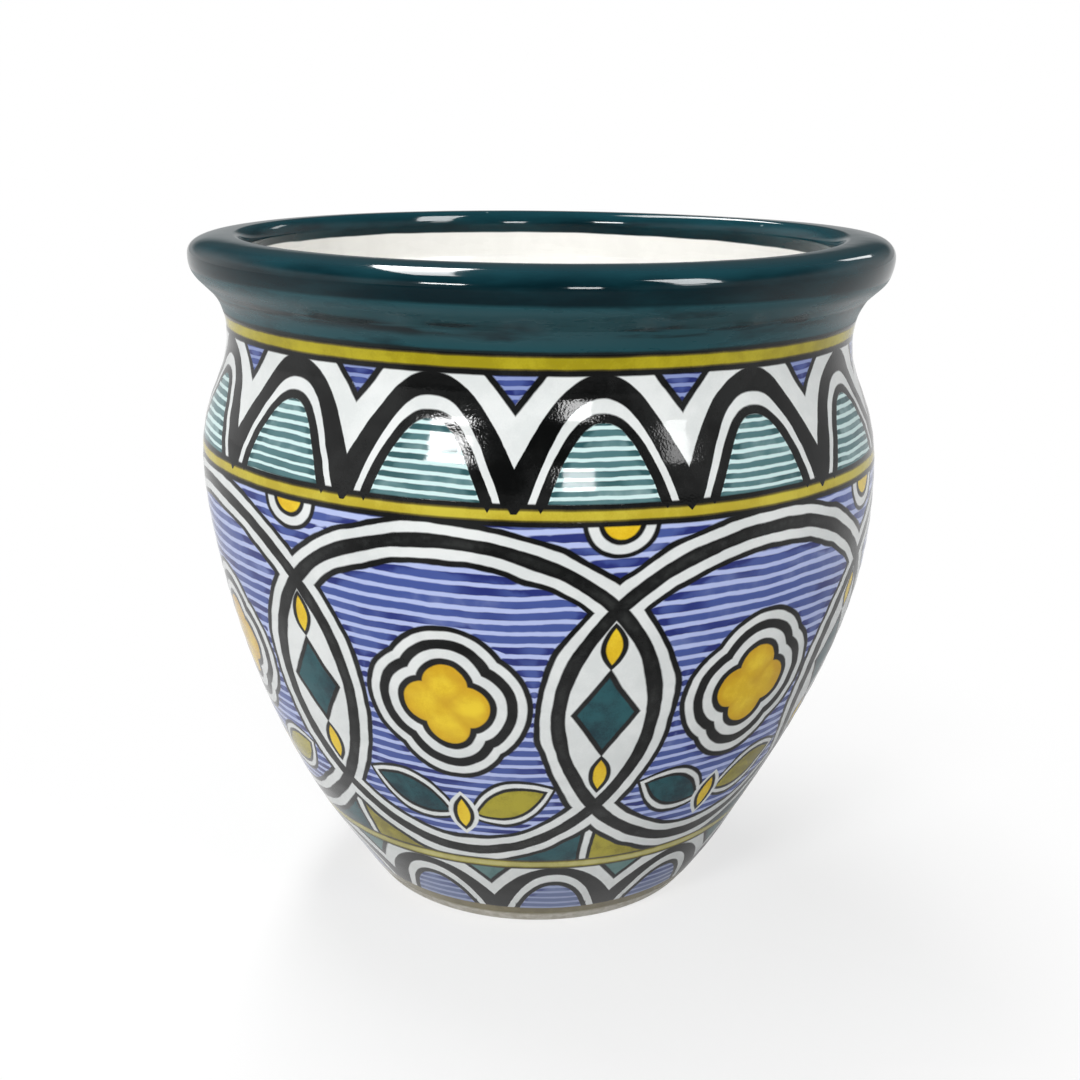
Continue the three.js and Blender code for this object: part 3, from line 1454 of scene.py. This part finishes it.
@dataclass
class RimAndCollar:
    """The rolled rim and the teal collar under it."""

    rim_radius: float = 115.0
    width: float = 14.2
    crest_height: float = 222.9
    shoulder: float = 5.8
    fullness: float = 5.8
    crest_fullness: float = 5.2
    lip_width: float = 3.8
    lip_drop: float = 5.2
    corner: float = 4.6
    arc_steps: int = 16
    collar_step: float = 0.8
    glaze: RimGlaze = field(default_factory=RimGlaze)

    def rim_outline(self) -> list[Vector]:
        """The rim's outline, from the crease round the crest to the inner face.

        Returns:
            The points of the outline.
        """
        crest = Vector((self.rim_radius - self.width, self.crest_height))
        fullest = Vector((self.rim_radius, self.crest_height - self.shoulder))
        corner = fullest - Vector((0.0, self.corner))
        crease = Vector((FORM.crease_radius, FORM.crease_height))
        under = corner + (crease - corner).normalized() * self.corner
        lower = interpolate_bezier(
            under, under.lerp(corner, 2 / 3), fullest.lerp(corner, 2 / 3), fullest, self.arc_steps
        )
        upper = interpolate_bezier(
            fullest,
            fullest + Vector((0.0, self.fullness)),
            crest + Vector((self.crest_fullness, 0.0)),
            crest,
            2 * self.arc_steps,
        )
        outline = [crease, crease.lerp(under, 1 / 3), crease.lerp(under, 2 / 3), *lower, *upper[1:]]
        for step in range(1, self.arc_steps + 1):
            turn = math.pi / 2 * step / self.arc_steps
            drop = Vector((-self.lip_width * math.sin(turn), self.lip_drop * (math.cos(turn) - 1)))
            outline.append(crest + drop)
        inner_crease = Vector((FORM.crease_radius - FORM.wall, FORM.crease_height))
        bore = outline[-1]
        return [*outline, bore.lerp(inner_crease, 1 / 3), bore.lerp(inner_crease, 2 / 3), inner_crease]

    def build(self) -> None:
        """Spin both rings and dress them in one glaze, the collar lined with white."""
        glaze = self.glaze.material()
        rim = Turning("rim_glazed", self.rim_outline()).build()
        attach(rim, "pot", "rim_roll", [glaze])
        ring = FORM.ring(FORM.collar_seam, FORM.crease_height, self.collar_step)
        collar = Turning("collar_glazed", ring).build()
        attach(collar, "pot", "neck_collar", [glaze])


# The neck stripe takes the darker mustard: painted shade under the rim.
NECK_STRIPE = Stripe(196.5, half=2.0, line=1.45, line_drop=0.15, paint=Pigment.MUSTARD_IN_PAINTED_SHADE, shade=Pigment.BRONZE)
BELT_STRIPE = Stripe(156.4, half=1.75, line=1.45, bleed=0.5, shade=Pigment.BRONZE)
LOW_STRIPE = Stripe(32.4, half=1.4, line=0.8, paint=Pigment.STRAW, edge=Pigment.UMBER)
FOOT_LINE = Stripe(5.4, half=3.0, line=0.0, paint=Pigment.DRAB, edge=Pigment.DRAB, shade=Pigment.DRAB)


@dataclass
class PaintedWall:
    """The painted rings of wall, glazed white inside."""

    step: float = 1.6
    shoulder_paint: ArcadePaint = ArcadePaint(
        "shoulder_paint",
        wander=1.15,
        arches=(Arch(34.6, 28.7, 2.0), Arch(27.8, 20.8, 2.3), Arch(24.2, 18.8, 2.3), Arch(21.6, 15.6, 2.2)),
        stripes=(NECK_STRIPE, BELT_STRIPE),
    )
    belly_paint: RoundelPaint = RoundelPaint("belly_paint", wander=1.3, stripes=(BELT_STRIPE, LOW_STRIPE))
    lower_paint: ArcadePaint = ArcadePaint(
        "lower_paint",
        wander=0.9,
        count=11,
        crown_angle=5.5,
        span=40.5,
        base=8.5,
        arches=(Arch(21.9, 24.0, 2.0), Arch(18.1, 15.9, 2.2), Arch(14.6, 13.4, 2.2), Arch(12.5, 11.4, 2.2)),
        pendant_half=7.5,
        pendant_top=22.0,
        pendant_depth=9.5,
        pendant_line=1.5,
        drip_half=1.2,
        drip_long=0.4,
        pitch=2.9,
        # The lower band's ruled fields, in blue with a painted reflection haze.
        field_paint=Hatching.BLUE_WITH_PAINTED_HAZE,
        pendant_paint=Pigment.SEA,
        stripes=(LOW_STRIPE, FOOT_LINE),
    )

    def build(self) -> None:
        """Spin, line and dress the rings from the neck down."""
        lining = WhiteGlaze().material()
        seams = (
            ("neck", FORM.collar_seam, self.shoulder_paint),
            ("shoulder", FORM.throat_seam, self.shoulder_paint),
            ("belly", FORM.belt_seam, self.belly_paint),
            ("girth", FORM.girth_seam, self.belly_paint),
            ("bowl", FORM.bowl_seam, self.belly_paint),
            ("lower", FORM.low_seam, self.lower_paint),
        )
        lows = [high for _, high, _ in seams[1:]] + [FORM.foot_height]
        bands = (self.shoulder_paint, self.belly_paint, self.lower_paint)
        paints = {paint: paint.material() for paint in bands}
        for (name, high, paint), low in zip(seams, lows):
            piece = Turning(f"{name}_painted", FORM.ring(low, high, self.step)).build()
            attach(piece, "pot", f"{name}_wall", [paints[paint], lining])
            line_inside(piece)


@dataclass
class BaseAndFoot:
    """The floor of the pot with its drain hole, and the ring that it stands on."""

    thickness: float = 9.0
    seam: float = 0.3
    cove: float = 6.0
    hole_top: float = 11.0
    hole_bottom: float = 9.5
    hole_edge: float = 1.2
    foot_edge: float = 1.0

    def build(self) -> None:
        """Spin and dress both pieces."""
        under = FORM.foot_height + self.seam
        floor = under + self.thickness
        edge = FORM.radius(floor) - FORM.wall
        upper = FORM.radius(floor + self.cove) - FORM.wall
        slab = [
            (self.hole_bottom, under, 0.0),
            (FORM.radius(under) - FORM.wall, under, 0.0),
            (upper, floor + self.cove, 0.0),
            (edge, floor, self.cove),
            (self.hole_top, floor, self.hole_edge),
        ]
        base = Turning("base_glazed", rounded(slab)).build()
        attach(base, "pot", "base_slab", [WhiteGlaze().material()])
        inner = FORM.foot_radius - FORM.foot_width
        ring = [
            (inner, 0.0, self.foot_edge),
            (FORM.foot_radius, 0.0, self.foot_edge),
            (FORM.foot_radius + FORM.foot_flare, FORM.foot_height, 0.0),
            (inner, FORM.foot_height, 0.0),
        ]
        foot = Turning("foot_turned", rounded(ring)).build()
        attach(foot, "pot", "foot_ring", [BareClay().material()])


@dataclass
class DrainPlug:
    """The loose rubber plug in the drain hole."""

    clearance: float = 0.3
    shank_end: float = 5.9
    shank_radius: float = 9.3
    floor: float = 14.3
    neck_radius: float = 10.7
    flange_radius: float = 16.0
    flange: float = 2.5
    stem_radius: float = 4.5
    stem: float = 4.5
    knob_radius: float = 8.0
    knob: float = 5.5
    knob_taper: float = 0.9
    knob_edge: float = 2.6
    shank_edge: float = 0.8
    seat_edge: float = 0.5
    stem_edge: float = 0.6
    soft_edge: float = 1.0
    steps: int = 96

    def build(self) -> None:
        """Spin and dress the plug."""
        seat = self.floor + self.clearance
        flange_top = seat + self.flange
        stem_top = flange_top + self.stem
        top = stem_top + self.knob
        corners = [
            (0.0, self.shank_end, 0.0),
            (self.shank_radius, self.shank_end, self.shank_edge),
            (self.neck_radius, self.floor, 0.0),
            (self.neck_radius, seat, 0.0),
            (self.flange_radius, seat, self.seat_edge),
            (self.flange_radius, flange_top, self.soft_edge),
            (self.stem_radius, flange_top, self.soft_edge),
            (self.stem_radius, stem_top, self.stem_edge),
            (self.knob_radius, stem_top, self.soft_edge),
            (self.knob_radius * self.knob_taper, top, self.knob_edge),
            (0.0, top, 0.0),
        ]
        plug = Turning("plug_moulded", rounded(corners), self.steps, thrown=False).build()
        attach(plug, "plug", "drain_plug", [SoftRubber().material()])


LAMP_AIM = Vector((0.0, 0.0, 0.156))


def light(level: float) -> Colour:
    """A level of grey or of white light, as a colour."""
    return (level, level, level, 1.0)


@dataclass(frozen=True)
class Lamp:
    """A rectangular studio lamp, placed by its bearing from the pot."""

    name: str
    bearing: float
    elevation: float
    distance: float
    width: float
    height: float
    radiance: float
    turn: float = 0.0
    glint: bool = False

    def build(self) -> None:
        """Hang the lamp, aim it at the pot and turn it about its aim. A glint shows in reflections alone."""
        bearing, elevation = math.radians(self.bearing), math.radians(self.elevation)
        level = math.cos(elevation)
        way = Vector((math.sin(bearing) * level, -math.cos(bearing) * level, math.sin(elevation)))
        panel = bpy.data.lights.new(self.name, "AREA")
        panel.shape = "RECTANGLE"
        panel.size, panel.size_y = self.width, self.height
        panel.energy = self.radiance * math.pi * self.width * self.height
        lamp = bpy.data.objects.new(self.name, panel)
        aim = way.to_track_quat("Z", "Y").to_matrix().to_4x4()
        turned = aim @ Matrix.Rotation(math.radians(self.turn), 4, "Z")
        lamp.matrix_world = Matrix.Translation(LAMP_AIM + way * self.distance) @ turned
        lamp.visible_camera = False
        lamp.visible_diffuse = not self.glint
        bpy.context.scene.collection.objects.link(lamp)


@dataclass
class Studio:
    """The camera at the photograph's angle, a pale floor, soft surroundings and lamps.

    Pairs are where a mask starts and where it is full.
    """

    camera_distance: float = 0.4995
    camera_height: float = 0.2634
    tilt_down: float = 16.38
    roll: float = 0.816
    sensor: float = 36.0
    lens: float = 49.37
    shift: float = 0.0024
    nearest: float = 0.01
    floor_radius: float = 30.0
    floor_sides: int = 96
    floor_rough: float = 0.7
    floor_gloss: float = 0.2
    floor_seen: float = 0.95
    floor_white: float = 0.34
    floor_front: float = 0.2
    floor_glow: float = 0.74
    front_glow: float = 0.05
    front_side: tuple[float, float] = (0.3, 0.8)
    front_away: tuple[float, float] = (0.18, 0.30)
    # How much white glow the floor keeps near the pot, where it is painted greyer as a shadow.
    painted_shadow_glow: float = 0.66
    painted_shadow_near: float = 0.08
    painted_shadow_far: float = 0.28
    backdrop_near: float = 0.14
    backdrop_far: float = 1.1
    backdrop_glow: float = 0.8
    backdrop_dim: float = 0.5
    right_dim: float = 0.65
    right_side: tuple[float, float] = (0.3, 0.75)
    right_away: tuple[float, float] = (0.50, 0.25)
    room_light: float = 0.28
    wall_light: float = 0.45
    wall_ahead: tuple[float, float] = (0.0, 0.6)
    ceiling_light: float = 0.07
    ceiling_lift: tuple[float, float] = (0.068, 0.16)
    left_light: float = 1.0
    right_light: float = 0.75
    side_turn: tuple[float, float] = (0.3, 0.9)
    side_lift: tuple[float, float] = (0.70, 0.35)
    lamps: tuple[Lamp, ...] = (
        Lamp("window_left", -31, 25, 2.0, 0.44, 0.26, 52.0),
        Lamp("window_middle", 12, 16, 2.0, 0.32, 0.38, 25.0),
        Lamp("window_right", 47, 28, 2.0, 0.26, 0.50, 10.0),
        Lamp("ceiling_right", 57, 48, 2.0, 0.48, 1.15, 22.0, turn=-17.0, glint=True),
        Lamp("skylight_back", -151, 59, 2.0, 0.30, 1.80, 18.0, turn=-37.0),
        Lamp("window_far_right", 147, 26, 2.0, 0.20, 0.30, 4.0),
    )

    def build(self) -> None:
        """Set up everything around the pot."""
        scene = bpy.context.scene
        scene.view_settings.view_transform = "Standard"
        self.build_camera(scene)
        self.build_floor()
        self.build_surroundings(scene)
        for lamp in self.lamps:
            lamp.build()

    def build_camera(self, scene: bpy.types.Scene) -> None:
        """Place the camera in front, looking slightly down.

        Args:
            scene: The scene that it films.
        """
        data = bpy.data.cameras.new("camera")
        data.sensor_width = self.sensor
        data.lens = self.lens
        data.shift_x = self.shift
        data.clip_start = self.nearest
        camera = bpy.data.objects.new("camera", data)
        stand = Matrix.Translation((0.0, -self.camera_distance, self.camera_height))
        tilt = Matrix.Rotation(math.radians(90.0 - self.tilt_down), 4, "X")
        camera.matrix_world = stand @ tilt @ Matrix.Rotation(math.radians(self.roll), 4, "Z")
        scene.collection.objects.link(camera)
        scene.camera = camera

    def build_floor(self) -> None:
        """Lay a pale floor, painted greyer round the pot, that keeps its shadow and turns into a white
        backdrop behind it.
        """
        shape = bmesh.new()
        bmesh.ops.create_circle(shape, cap_ends=True, radius=self.floor_radius, segments=self.floor_sides)
        mesh = bpy.data.meshes.new("floor")
        shape.to_mesh(mesh)
        shape.free()
        floor = bpy.data.objects.new("floor", mesh)
        bpy.context.scene.collection.objects.link(floor)
        coat = Coat("floor_white")
        rays = coat.rays()
        camera = rays["Is Camera Ray"]
        mirrored = coat.most(rays["Is Glossy Ray"], rays["Is Transmission Ray"])
        x, y, _ = coat.parts(coat.place)
        away = coat.reach(x, y)
        front = coat.rise(y / away * -1.0, *self.front_side) * coat.rise(away, *self.front_away)
        bounce = coat.over(light(self.floor_white), light(self.floor_front), front)
        colour = coat.over(bounce, light(self.floor_seen), camera)
        coat.feed(Base_Color=colour, Roughness=self.floor_rough, Specular_IOR_Level=self.floor_gloss)
        # The white glow fades near the pot, so the floor there is painted greyer all round: a painted shadow
        # under the real one.
        clear = coat.rise(away, self.painted_shadow_near, self.painted_shadow_far)
        seen = camera * (clear * (1.0 - self.painted_shadow_glow) + self.painted_shadow_glow)
        right = coat.rise(x / away, *self.right_side) * coat.rise(away, *self.right_away) * self.right_dim
        shine = self.floor_glow - front * (self.floor_glow - self.front_glow)
        near = coat.most(seen, mirrored * shine * (1.0 - right))
        haze = self.backdrop_glow - mirrored * (self.backdrop_glow * self.backdrop_dim)
        far = coat.rise(away, self.backdrop_near, self.backdrop_far) * (1.0 - front) * haze
        lit = Signal(coat, coat.shader.outputs[0])
        glow = coat.made("ShaderNodeEmission", {})
        mixed = coat.made("ShaderNodeMixShader", {0: coat.most(near, far), 1: lit, 2: glow})
        coat.put(coat.output.inputs["Surface"], mixed)
        mesh.materials.append(coat.material)

    def build_surroundings(self, scene: bpy.types.Scene) -> None:
        """Light the room: grey walls, bright sides, and dim to the front and overhead.

        Args:
            scene: The scene that gets the world.
        """
        world = bpy.data.worlds.new("room")
        scene.world = world
        world.use_nodes = True
        world.node_tree.nodes.clear()
        graph = Graph(world.node_tree)
        aside, forward, lift = graph.parts(graph.coordinates("Generated"))
        low = graph.rise(lift, *self.side_lift)
        wall = graph.rise(forward, *self.wall_ahead)
        colour = graph.over(light(self.room_light), light(self.wall_light), wall)
        colour = graph.over(colour, light(self.ceiling_light), graph.rise(lift, *self.ceiling_lift))
        for level, side in ((self.left_light, aside * -1.0), (self.right_light, aside)):
            colour = graph.over(colour, light(level), graph.rise(side, *self.side_turn) * low)
        rays = graph.rays()
        seen = graph.most(rays["Is Camera Ray"], rays["Is Transmission Ray"])
        colour = graph.over(colour, light(1.0), seen)
        output = graph.add("ShaderNodeOutputWorld")
        graph.put(output.inputs["Surface"], graph.made("ShaderNodeBackground", {"Color": colour}))


def main() -> None:
    """Load the frame, set the studio, and build and dress each sub-assembly in order."""
    logging.basicConfig(level=logging.INFO, format="%(message)s")
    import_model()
    Studio().build()
    for assembly in (RimAndCollar(), PaintedWall(), BaseAndFoot(), DrainPlug()):
        assembly.build()


if __name__ == "__main__":
    main()
